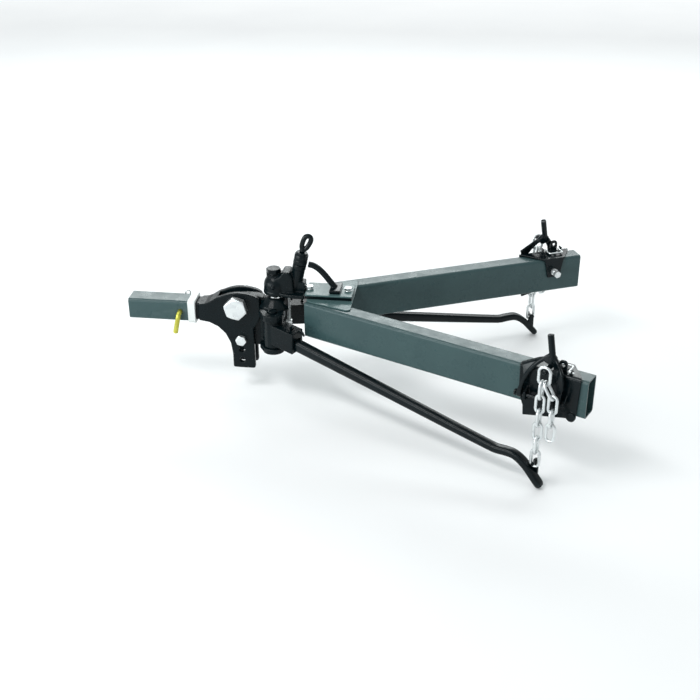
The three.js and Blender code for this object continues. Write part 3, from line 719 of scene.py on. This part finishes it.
def bar_section(t):
    """Rounded section that gets lower and a little narrower towards the tip."""
    height = 33 + (18 - 33) * t
    width = 27.6 - 2.6 * t
    tip = 0.985
    if t > tip:
        ease = math.sqrt(max(0.0, 1 - ((t - tip) / (1 - tip)) ** 2))
        height *= 0.62 + 0.38 * ease
        width *= 0.72 + 0.28 * ease
    corner = min(10.0, height * 0.36)
    return oblong(width, height, corner, steps=4)


def spring_bar():
    """The bar with its lug: a post on the inner side and a prong that carries the bottom chain link."""
    path = curve_points(BAR_SPINE, 150, 0.5)
    bar_mesh = swept(path, bar_section)
    lug_z, reach, inner = -167.8, 793.1, -14
    post_edge = [
        (reach - 15, -192), (reach - 6, lug_z + 3), (reach, lug_z + 7, 3),
        (reach + 6, lug_z), (reach + 7, -207),
    ]
    post = slab([fillet(post_edge, 3)], inner, inner + 8, 1.6, "XZ")
    prong_path = [(reach, inner + 2, lug_z), (reach, 0, lug_z), (reach, 9, lug_z), (reach, 15, lug_z + 4)]
    prong = rod(prong_path, 4.4, 24, 16, (0, 0, 1))
    boss = shaft((reach, inner - 0.5, lug_z), (reach, inner + 9, lug_z), 7.2, 1.2)
    return [bar_mesh, forged([post, boss], 0.8, 5), prong]


pair("spring_bar", spring_bar(), BAR_FRAME)

socket_source = cad_mesh("bar_socket_l", BAR_FRAME)
pair("bar_socket", forged([socket_source], 1.0, 9), BAR_FRAME)


def socket_top(reach):
    return bar_z(reach) + 40


clip_strap = rod(
    [
        (62, 0, socket_top(62) - 12), (62, 0, socket_top(62) + 4), (68, 0, socket_top(62) + 10),
        (84, 0, socket_top(84) + 9), (98, 0, socket_top(98) + 7), (104, 0, socket_top(104) - 3),
    ],
    3.0, 60, 16, (0, 1, 0), 0.5, 0.4,
)
pair("bar_clip", clip_strap, BAR_FRAME)

# ---------------------------------------------------------------- rails and plates
RAIL_WIDE, RAIL_HIGH, RAIL_LONG, RAIL_WALL = 50.8, 101.6, 810, 4
rail_middle = (RAIL_WIDE / 2, -RAIL_HIGH / 2)
rail_outer = oblong(RAIL_WIDE, RAIL_HIGH, 8.5, *rail_middle, 10)
rail_inner = oblong(RAIL_WIDE - 2 * RAIL_WALL, RAIL_HIGH - 2 * RAIL_WALL, 3, *rail_middle)
rail_mesh = slab([rail_outer, rail_inner], 0, RAIL_LONG, 0.6, "YZ")
pair("rail", rail_mesh, RAIL_FRAME, weighted=True)

PLATE_BOLTS = (509, 615)
# The mount plate's underside height is also the top of the black slab of painted shade beneath it.
PLATE_X, PLATE_TOP, SHADOW_GAP_TOP = 565.25, 77, 72.6
bolt_holes = [circle(x, 0, 6.4) for x in PLATE_BOLTS]
gusset_edge = fillet(
    [(507, -48), (520, -58, 4), (622, -97), (632, -92), (632, 92), (622, 97), (520, 58, 4), (507, 48)], 7
)
piece("gusset_plate", slab([gusset_edge] + bolt_holes, 61.3, 64.3, 0.6, "XY"), weighted=True)
plate_edge = oblong(129.5, 82, 5, PLATE_X, 0)
plate_mesh = slab([plate_edge] + bolt_holes, SHADOW_GAP_TOP, PLATE_TOP, 1.4, "XY")
piece("mount_plate", plate_mesh, weighted=True)
# Painted shade: a black slab fills the space under the mount plate and stands for the dark shadow gap
# between the plate and the gusset.
shadow_gap_edge = oblong(127.5, 80, 4, PLATE_X, 0)
shadow_gap_slab = slab([shadow_gap_edge] + bolt_holes, 64.6, SHADOW_GAP_TOP, 0.8, "XY")
piece("mount_plate", shadow_gap_slab, material=MATERIAL["black_steel"], weighted=True)

washer_profile = [(6.5, 0), (10.6, 0), (10.9, 0.4), (10.9, 1.2), (10.5, 1.6), (6.5, 1.6), (6.5, 0)]
for name, x, spin in zip(("plate_bolt_front", "plate_bolt_rear"), PLATE_BOLTS, (0.4, 0.9)):
    washer = turned(washer_profile, (x, 0, 77.2))
    head = hexagon((x, 0, 78.8), (0, 0, 1), 18.6, 7.1, spin=spin)
    nut = hexagon((x, 0, 50), (0, 0, 1), 18.8, 10, 6, spin + 0.5)
    stem = shaft((x, 0, 58), (x, 0, 79), 5.9)
    thread = threaded((x, 0, 44), (x, 0, 60), 6, 1.75)
    piece(name, [washer, head, nut, stem, thread])

# ---------------------------------------------------------------- coupler
LEAN = math.radians(12)
LATCH_DIRECTION = Vector((math.sin(LEAN), 0, math.cos(LEAN)))
LATCH_FOOT = Vector((468, 0, 78))
CAP_X = 410


def latch(t):
    """The point at a distance up the leaning axis of the latch."""
    return LATCH_FOOT + LATCH_DIRECTION * t


def arc(x, y, radius, start, end, steps=40):
    angles = [start + (end - start) * k / steps for k in range(steps + 1)]
    return [(x + radius * math.cos(a), y + radius * math.sin(a), 0) for a in angles]


def domed(radius, foot, wall_top, steps):
    """Lathe profile round the ball: a straight wall from its foot, then a quarter circle."""
    angles = [math.pi / 2 * k / steps for k in range(1, steps + 1)]
    crown = [(max(radius * math.cos(a), 0.001), BALL_Z + radius * math.sin(a)) for a in angles]
    return [(0.001, foot), (radius, foot), (radius, wall_top)] + crown


flange_edge = [(499.7, -41, 3), (499.7, 41, 3), (462, 41, 8), (436, 33, 3)]
flange_edge += arc(BALL_X, 0, 34, 1.1, TAU - 1.1)
flange_edge += [(436, -33, 3), (462, -41, 8)]
flange = slab([fillet(flange_edge, 4)], 62, 72, 1.6, "XY")
dome = turned(domed(33, 62, 83, 16), (BALL_X, 0, 0), steps=64)
tower_edge = [(415, 64), (415, 112), (430, 118, 10), (438, 131, 8), (457, 131, 9), (466, 114, 12), (470, 64)]
tower = slab([fillet(tower_edge, 4)], -26, 26, 5, "XZ")
barrel = shaft(latch(-8), latch(74), 17.5, 1.5, 48)
barrel_band = shaft(latch(58), latch(73.6), 18.6, 2.0, 48)
cap_boss = shaft((CAP_X, 0, 90), (CAP_X, 0, 119), 20, 2, 48)
heel = slab([oblong(28, 34, 4, 484, 83)], -16, 16, 3, "XZ")
hollow = turned(domed(26, 40, BALL_Z, 12), (BALL_X, 0, 0), steps=56)
plunger_bore = shaft(latch(40), latch(80), 6.6, 0.1, 32)
rivets = [shaft((413, side * 30, 88), (413, side * 36.5, 90), 5.5, 2.0, 32) for side in (-1, 1)]
coupler_mesh = forged(
    [flange, dome, tower, barrel, barrel_band, cap_boss, heel] + rivets, 1.1, 5, [hollow, plunger_bore]
)
piece("coupler_body", coupler_mesh)
cap_washer_profile = [(0.001, 0), (19.4, 0), (20, 0.6), (20, 1.8), (19.2, 2.4), (0.001, 2.4)]
cap_washer = turned(cap_washer_profile, (CAP_X, 0, 119.3))
cap_head = hexagon((CAP_X, 0, 121.7), (0, 0, 1), 36, 11.3, spin=0.5)
piece("coupler_cap_nut", forged([cap_washer, cap_head], 0.6, 3), material=MATERIAL["black_casting"])

sleeve_profile = [
    (6.7, 74.4), (17.4, 74.4), (19, 76), (19, 84.6), (18.0, 85.8), (18.0, 88.2), (19, 89.4), (19, 100.6),
    (18.2, 102.3), (15.9, 102.9), (15.5, 103.4), (15.5, 107.2), (14.4, 108.5), (7.6, 108.5), (6.7, 107.6),
    (6.7, 74.4),
]
sleeve_mesh = turned(sleeve_profile, LATCH_FOOT, LATCH_DIRECTION, 64)
piece("latch_sleeve", sleeve_mesh)

EYE_LEAN = math.radians(25)
eye_direction = Vector((math.sin(EYE_LEAN), 0, math.cos(EYE_LEAN)))
eye_across = Vector((math.cos(EYE_LEAN), 0, -math.sin(EYE_LEAN)))
eye_foot = latch(114)


def eye_path(count=72):
    """An egg-shaped loop, wide at its far end, that stands on the plunger."""
    out = []
    for k in range(count):
        a = TAU * k / count
        along = 24 + 20.7 * math.sin(a)
        wide = 7.6 + 3.4 * (along / 47.2) ** 1.2
        aside = eye_across * wide * 1.12 * math.cos(a) * (1 - 0.10 * math.cos(2 * a))
        out.append(eye_foot + eye_direction * along + aside)
    return out


eye_ring = swept(
    eye_path(),
    lambda t: [(6.9 * math.cos(TAU * k / 16), 5.6 * math.sin(TAU * k / 16)) for k in range(16)],
    (0, 1, 0),
    loop=True,
)
plunger_profile = [
    (0.001, 104), (6, 104), (6, 110.6), (8.4, 112), (8.4, 115), (6.2, 118.4), (0.001, 119.2),
]
plunger_top = turned(plunger_profile, LATCH_FOOT, LATCH_DIRECTION, 40)
plunger_mesh = forged([eye_ring, plunger_top], 0.7, 3)
plunger_rod = shaft(latch(44), latch(108), 6, 0.8)
piece("pull_ring", [plunger_mesh, plunger_rod])

# ---------------------------------------------------------------- handle and clamp bolt
grip = rod(
    [(505.5, 0, 149), (520, 0, 146), (536, 0, 136), (552, 0, 119), (566, 0, 101), (579, 0, 84)],
    8.4, 70, 24, (0, 1, 0), 0.5, 0.3,
)
foot = slab([oblong(30, 60, 4, 581, 0)], 77.3, 87, 1.8, "XY")
piece("grab_handle", forged([grip, foot], 0.9, 5))

clamp_shaft = threaded((449, 0, -22), (449, 0, 61.4), 5, 1.5, 24)
clamp_head = hexagon((449, 0, -32), (0, 0, 1), 16, 10.6)
piece("clamp_bolt", [clamp_shaft, clamp_head])

# ---------------------------------------------------------------- brackets on the rails
BEND_AT, BEND_RADIUS = (2.7, -3.0), 9
bend = [(BEND_AT[0], 9), (BEND_AT[0], BEND_AT[1] + BEND_RADIUS)]
for k in range(1, 15):
    angle = math.pi / 2 + math.pi / 2 * k / 14
    bend.append((BEND_AT[0] + BEND_RADIUS * math.cos(angle), BEND_AT[1] + BEND_RADIUS * math.sin(angle)))
bend += [(-9, BEND_AT[1]), (-9, 9)]
outside_bend = slab([bend], 600, 830, 0.01, "YZ", 0)
bracket_mesh = forged([cad_mesh("bracket_l", RAIL_FRAME)], 0.95, 5, [outside_bend])
pair("bracket", bracket_mesh, RAIL_FRAME)

SET_S, SET_Z, RAIL_FACE = 722, -36, 51.1
set_bolt = [
    threaded((SET_S, RAIL_FACE - 0.2, SET_Z), (SET_S, RAIL_FACE + 24, SET_Z), 6, 1.75),
    hexagon((SET_S, RAIL_FACE + 6.3, SET_Z), (0, 1, 0), 19, 7.7, 6),
    hexagon((SET_S, RAIL_FACE + 22.6, SET_Z), (0, 1, 0), 18.4, 10.6, spin=0.3),
]
pair("set_bolt", set_bolt, RAIL_FRAME)

clip_wire = rod(
    [
        (702, 4, 12), (713, 4, 12), (716, 8, 12), (716, 32, 12), (720, 36, 12),
        (753, 36, 12), (757, 32, 12), (757, 8, 12), (760, 4, 12), (771, 4, 12),
    ],
    2.45, 130, 14, (0, 0, 1), 0.3,
)
pair("lock_clip", clip_wire, RAIL_FRAME)

OUT, HINGE_Z = 22, -66
ARM_LEAN = math.radians(11)
HINGE = Matrix.Translation((0, -OUT, HINGE_Z))
LEANED = HINGE @ Matrix.Rotation(-ARM_LEAN, 4, "X") @ HINGE.inverted()


def strap(points, widths, depth):
    """A flat bar of changing width, bent along a curve, thick across the arm."""
    path = curve_points(points, 70, 0.5)

    def section(t):
        at = t * (len(widths) - 1)
        k = min(int(at), len(widths) - 2)
        blend = at - k
        blend = blend * blend * (3 - 2 * blend)
        return oblong(widths[k] * (1 - blend) + widths[k + 1] * blend, depth, 3.2, steps=4)

    return swept(path, section, (0, 1, 0))


def lift_arm():
    """A pointed yoke on the hinge pin, with a roof at its front, a hook and a socket stub for a lever."""
    front_leg = strap(
        [
            (649.5, -29.5, -66), (651, -29.5, -50), (658, -30, -22),
            (671, -30.5, 6), (690, -30.5, 30), (713, -30, 50),
        ],
        widths=[13, 9, 8.5, 9, 13],
        depth=13,
    )
    rear_leg = strap(
        [
            (749.6, -29.5, -66), (749.8, -31, -50), (751.5, -34, -22),
            (745, -34, 8), (733, -32, 30), (720, -30, 50),
        ],
        widths=[11.6, 12, 18, 17, 13],
        depth=11,
    )
    crown_edge = [(700, 33), (706, 52), (717, 57), (729, 50), (735, 34), (717, 27)]
    crown = slab([fillet(crown_edge, 5)], -37, -24, 3, "XZ")
    stub = rod([(722, -31, 36), (707, -36, 103)], 8, 20, 24, (0, 1, 0), ends=0.2)
    yoke = [front_leg, rear_leg, crown, stub]
    for mesh in yoke:
        mesh.transform(LEANED)
    ridge_points = [(643, -8.5, 10.6), (664, -9, 23), (687, -10, 36), (711, -11, 46)]
    eaves_points = [(655, -31, -26), (670, -31, 4), (689, -31, 28), (712, -31, 46)]
    ridge = curve_points(ridge_points, 30)
    eaves = curve_points([LEANED @ Vector(p) for p in eaves_points], 30)
    top_edge, low_edge = Vector((0, 3, -4)), Vector((0, 4, -2))
    wing = loft([[a, a + top_edge, b + low_edge, b] for a, b in zip(ridge, eaves)])
    bead_path = [ridge[k] + Vector((0, 0.5, -0.6)) for k in (0, 10, 20, 29)]
    bead = rod(bead_path, 3.6, 40, 16, (0, 1, 0))
    bosses = [shaft((s0, -OUT, HINGE_Z), (s0 + 12.6, -OUT, HINGE_Z), 9, 1.5) for s0 in (643.2, 743.6)]
    hook_path = [(719, -17, 27), (719, -34, 27), (719, -50, 27), (719, -56.5, 28.6), (719, -61.5, 34)]
    hook = rod(hook_path, 6.5, 50, 20, (1, 0, 0), 0.5, 0.45)
    pin_hole = shaft((600, -OUT, HINGE_Z), (820, -OUT, HINGE_Z), 5.4, 0.1)
    return forged(yoke + [wing, bead, hook] + bosses, 0.85, 5, [pin_hole])


pair("lift_arm", lift_arm(), RAIL_FRAME)

hinge_profile = [
    (0.001, 635), (7.4, 635), (8.5, 636), (8.5, 638.6), (7.6, 639.5), (5, 639.6),
    (5, 764.8), (4, 766), (0.001, 766),
]
hinge_pin = turned(hinge_profile, (0, -OUT, HINGE_Z), (1, 0, 0), 32)
pair("hinge_pin", hinge_pin, RAIL_FRAME, material=MATERIAL["black_steel"])


keeper_path = [(761.5 + 0.23 * t, -OUT, HINGE_Z + t) for t in (-13, 0, 14, 30)]
keeper_wire = rod(keeper_path, 1.7, 40, 12, (0, 1, 0))
pair("hinge_keeper", keeper_wire, RAIL_FRAME, material=MATERIAL["black_steel"])

# ---------------------------------------------------------------- chains
WIRE, BEND, HALF = 4.0, 10.3, 13.05
CROWN = BEND + HALF
PITCH = 2 * (CROWN - WIRE) - 0.3


def link(extra=0.0):
    """An oval link in the XY plane, long along Y, with its weld on one straight side."""
    straight, bend = 12, 14
    half = [Vector((BEND + extra, -HALF + 2 * HALF * k / straight, 0)) for k in range(straight)]
    for k in range(bend):
        a = math.pi * k / bend
        half.append(Vector((extra * (1 - 2 * k / bend) + BEND * math.cos(a), HALF + BEND * math.sin(a), 0)))
    path = half + [-p for p in half]

    def section(t):
        at = t * (len(path) - 1)
        from_weld = at - straight / 2
        weld = 0.2 * math.exp(-((from_weld / 1.1) ** 2))
        groove = 0.22 * math.exp(-(((abs(from_weld) - 2.2) / 0.7) ** 2))
        r = WIRE - 0.15 + weld - groove
        return [(r * math.cos(TAU * k / 14), r * math.sin(TAU * k / 14)) for k in range(14)]

    return swept(path, section, (0, 0, 1), loop=True)


FACE_ON = Matrix.Rotation(math.pi / 2, 4, "X")
EDGE_ON = Matrix.Rotation(math.pi / 2, 4, "Z") @ FACE_ON
HOOK_S, HOOK_Z, CHAIN_OUT = 719, 27, 50.4
TOP_Z = HOOK_Z + 6.5 + 0.4 - (CROWN - WIRE)
STRAND = HOOK_S - 5.2


def set_link(turn, s, z, extra=0.0, lean=0.0):
    mesh = link(extra)
    mesh.transform(Matrix.Translation((s, -CHAIN_OUT, z)) @ Matrix.Rotation(lean, 4, "Y") @ turn)
    return mesh


pair("chain_link", set_link(FACE_ON, HOOK_S, TOP_Z, 4.0), RAIL_FRAME, "_0")
for number in range(1, 7):
    turn = EDGE_ON if number % 2 else FACE_ON
    pair("chain_link", set_link(turn, STRAND, TOP_Z + 0.3 - number * PITCH), RAIL_FRAME, f"_{number}")

# spare links that hang from the same top link, the first of them leaning
tail_lean = math.radians(31)
down_tail = Vector((math.sin(tail_lean), -math.cos(tail_lean)))
seat = Vector((HOOK_S + 6.9, TOP_Z - CROWN + 2.1))
first = seat + down_tail * (CROWN - 2 * WIRE - 0.3)
hang = first + down_tail * CROWN
tail = [set_link(EDGE_ON, first.x, first.y, lean=-tail_lean)]
for number in range(3):
    turn = EDGE_ON if number % 2 else FACE_ON
    tail.append(set_link(turn, hang.x, hang.y - CROWN + 2 * WIRE - number * (PITCH + 0.3)))
pair("chain_tail", tail, RAIL_FRAME)


# ---------------------------------------------------------------- floor, light and camera
def floor():
    left, right, depth = -24.0, 25.0, 24.0
    z = cad_box[0][2] - 0.002
    corners = [(left, -depth, z), (right, -depth, z), (right, depth, z), (left, depth, z)]
    mesh = mesh_of(corners, [(0, 1, 2, 3)], "floor")
    mat, nodes, links, shader = tree_of("floor")
    coords = nodes.new("ShaderNodeTexCoord").outputs["Object"]
    cloud = noise(nodes, links, coords, 1.5, 3)
    tone = ramp(nodes, links, cloud, [(0.3, (0.80, 0.81, 0.815)), (0.7, (0.83, 0.84, 0.842))])
    links.new(tone, shader.inputs["Base Color"])
    shader.inputs["Roughness"].default_value = 0.9
    mesh.materials.append(mat)
    obj = bpy.data.objects.new("floor", mesh)
    SCENE.collection.objects.link(obj)


def softbox(name, at, target, size, power, tint=(1, 1, 1)):
    data = bpy.data.lights.new(name, "AREA")
    data.shape = "RECTANGLE"
    data.size, data.size_y = size
    data.energy = power
    data.color = tint
    obj = bpy.data.objects.new(name, data)
    SCENE.collection.objects.link(obj)
    obj.location = at
    obj.rotation_euler = (Vector(target) - Vector(at)).to_track_quat("-Z", "Y").to_euler()


floor()
middle = (0.62, -0.02, 0.0)
softbox("overhead", (0.55, 0.4, 2.8), middle, (3.0, 1.6), 14)
softbox("key", (-0.7, -1.4, 2.7), middle, (1.8, 0.5), 52)
softbox("left", (-4.0, -4.4, 0.85), middle, (6.4, 1.1), 270, (0.93, 0.99, 1.0))
softbox("backdrop", (0.6, 3.4, 1.95), middle, (5.5, 0.75), 90, (0.94, 1.0, 1.0))
softbox("far_floor", (0.6, 8.5, 2.4), (0.6, 8.5, 0.0), (18, 8), 380)

world = bpy.data.worlds.new("studio")
world.use_nodes = True
world.node_tree.nodes["Background"].inputs["Color"].default_value = (0.93, 0.97, 0.98, 1)
world.node_tree.nodes["Background"].inputs["Strength"].default_value = 0.6
SCENE.world = world
SCENE.view_settings.view_transform = "Standard"

AZIMUTH, ELEVATION, ROLL = math.radians(7.574), math.radians(28.295), math.radians(-0.241)
level = Vector((math.sin(AZIMUTH), -math.cos(AZIMUTH), 0))
back = level * math.cos(ELEVATION) + Vector((0, 0, math.sin(ELEVATION)))
right = Vector((math.cos(AZIMUTH), math.sin(AZIMUTH), 0))
up = back.cross(right)
right, up = right * math.cos(ROLL) + up * math.sin(ROLL), up * math.cos(ROLL) - right * math.sin(ROLL)
camera_data = bpy.data.cameras.new("camera")
camera_data.lens = 56.55
camera_data.sensor_width = 36
camera = bpy.data.objects.new("camera", camera_data)
SCENE.collection.objects.link(camera)
camera_turn = Matrix((right, up, back)).transposed().to_4x4()
camera.matrix_world = Matrix.Translation((0.9762, -2.6865, 1.3524)) @ camera_turn
SCENE.camera = camera
